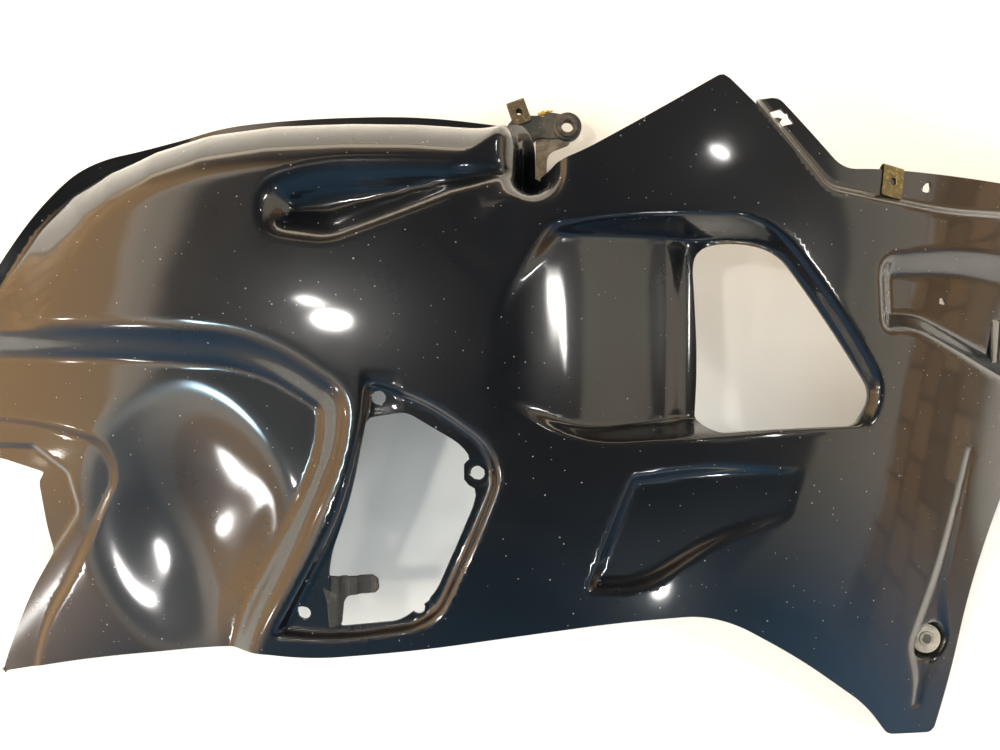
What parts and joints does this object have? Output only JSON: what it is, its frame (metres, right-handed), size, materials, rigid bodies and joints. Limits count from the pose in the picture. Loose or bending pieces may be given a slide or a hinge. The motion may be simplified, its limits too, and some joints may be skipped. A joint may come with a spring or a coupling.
{
  "type": "motorcycle fairing",
  "caption": "Moulded motorcycle side fairing panel with an air vent, an access opening, a scoop, pockets, a rolled lobe, clip nuts, a bracket and a mounting grommet.",
  "frame": {"origin": "middle of the panel's box, on the floor it lies on, painted face up", "axes": "+X along the panel's length, +Y towards its upper edge with the lobe and the peak, +Z out of the painted face"},
  "size_m": [0.973, 0.5699, 0.141],
  "materials": {
    "gloss_paint": "near-black glossy paint with fine swirl marks and dust",
    "olive_zinc": "olive passivated spring steel",
    "dark_zinc": "dull brown plated spring steel",
    "black_steel": "black painted steel with worn edges",
    "black_rubber": "dull black bush",
    "pale_rubber": "pale grey-beige grommet",
    "bright_steel": "zinc plated steel"
  },
  "bodies": {
    "root": {"fairing_panel": "gloss_paint", "flange_clip_nut": "olive_zinc", "top_bracket": "black_steel", "bracket_clip_nut": "dark_zinc", "ear_bush": "black_rubber", "mount_grommet": "pale_rubber", "mount_sleeve": "bright_steel", "pocket_bracket": "black_steel", "pocket_screws": "bright_steel"}
  },
  "joints": []
}
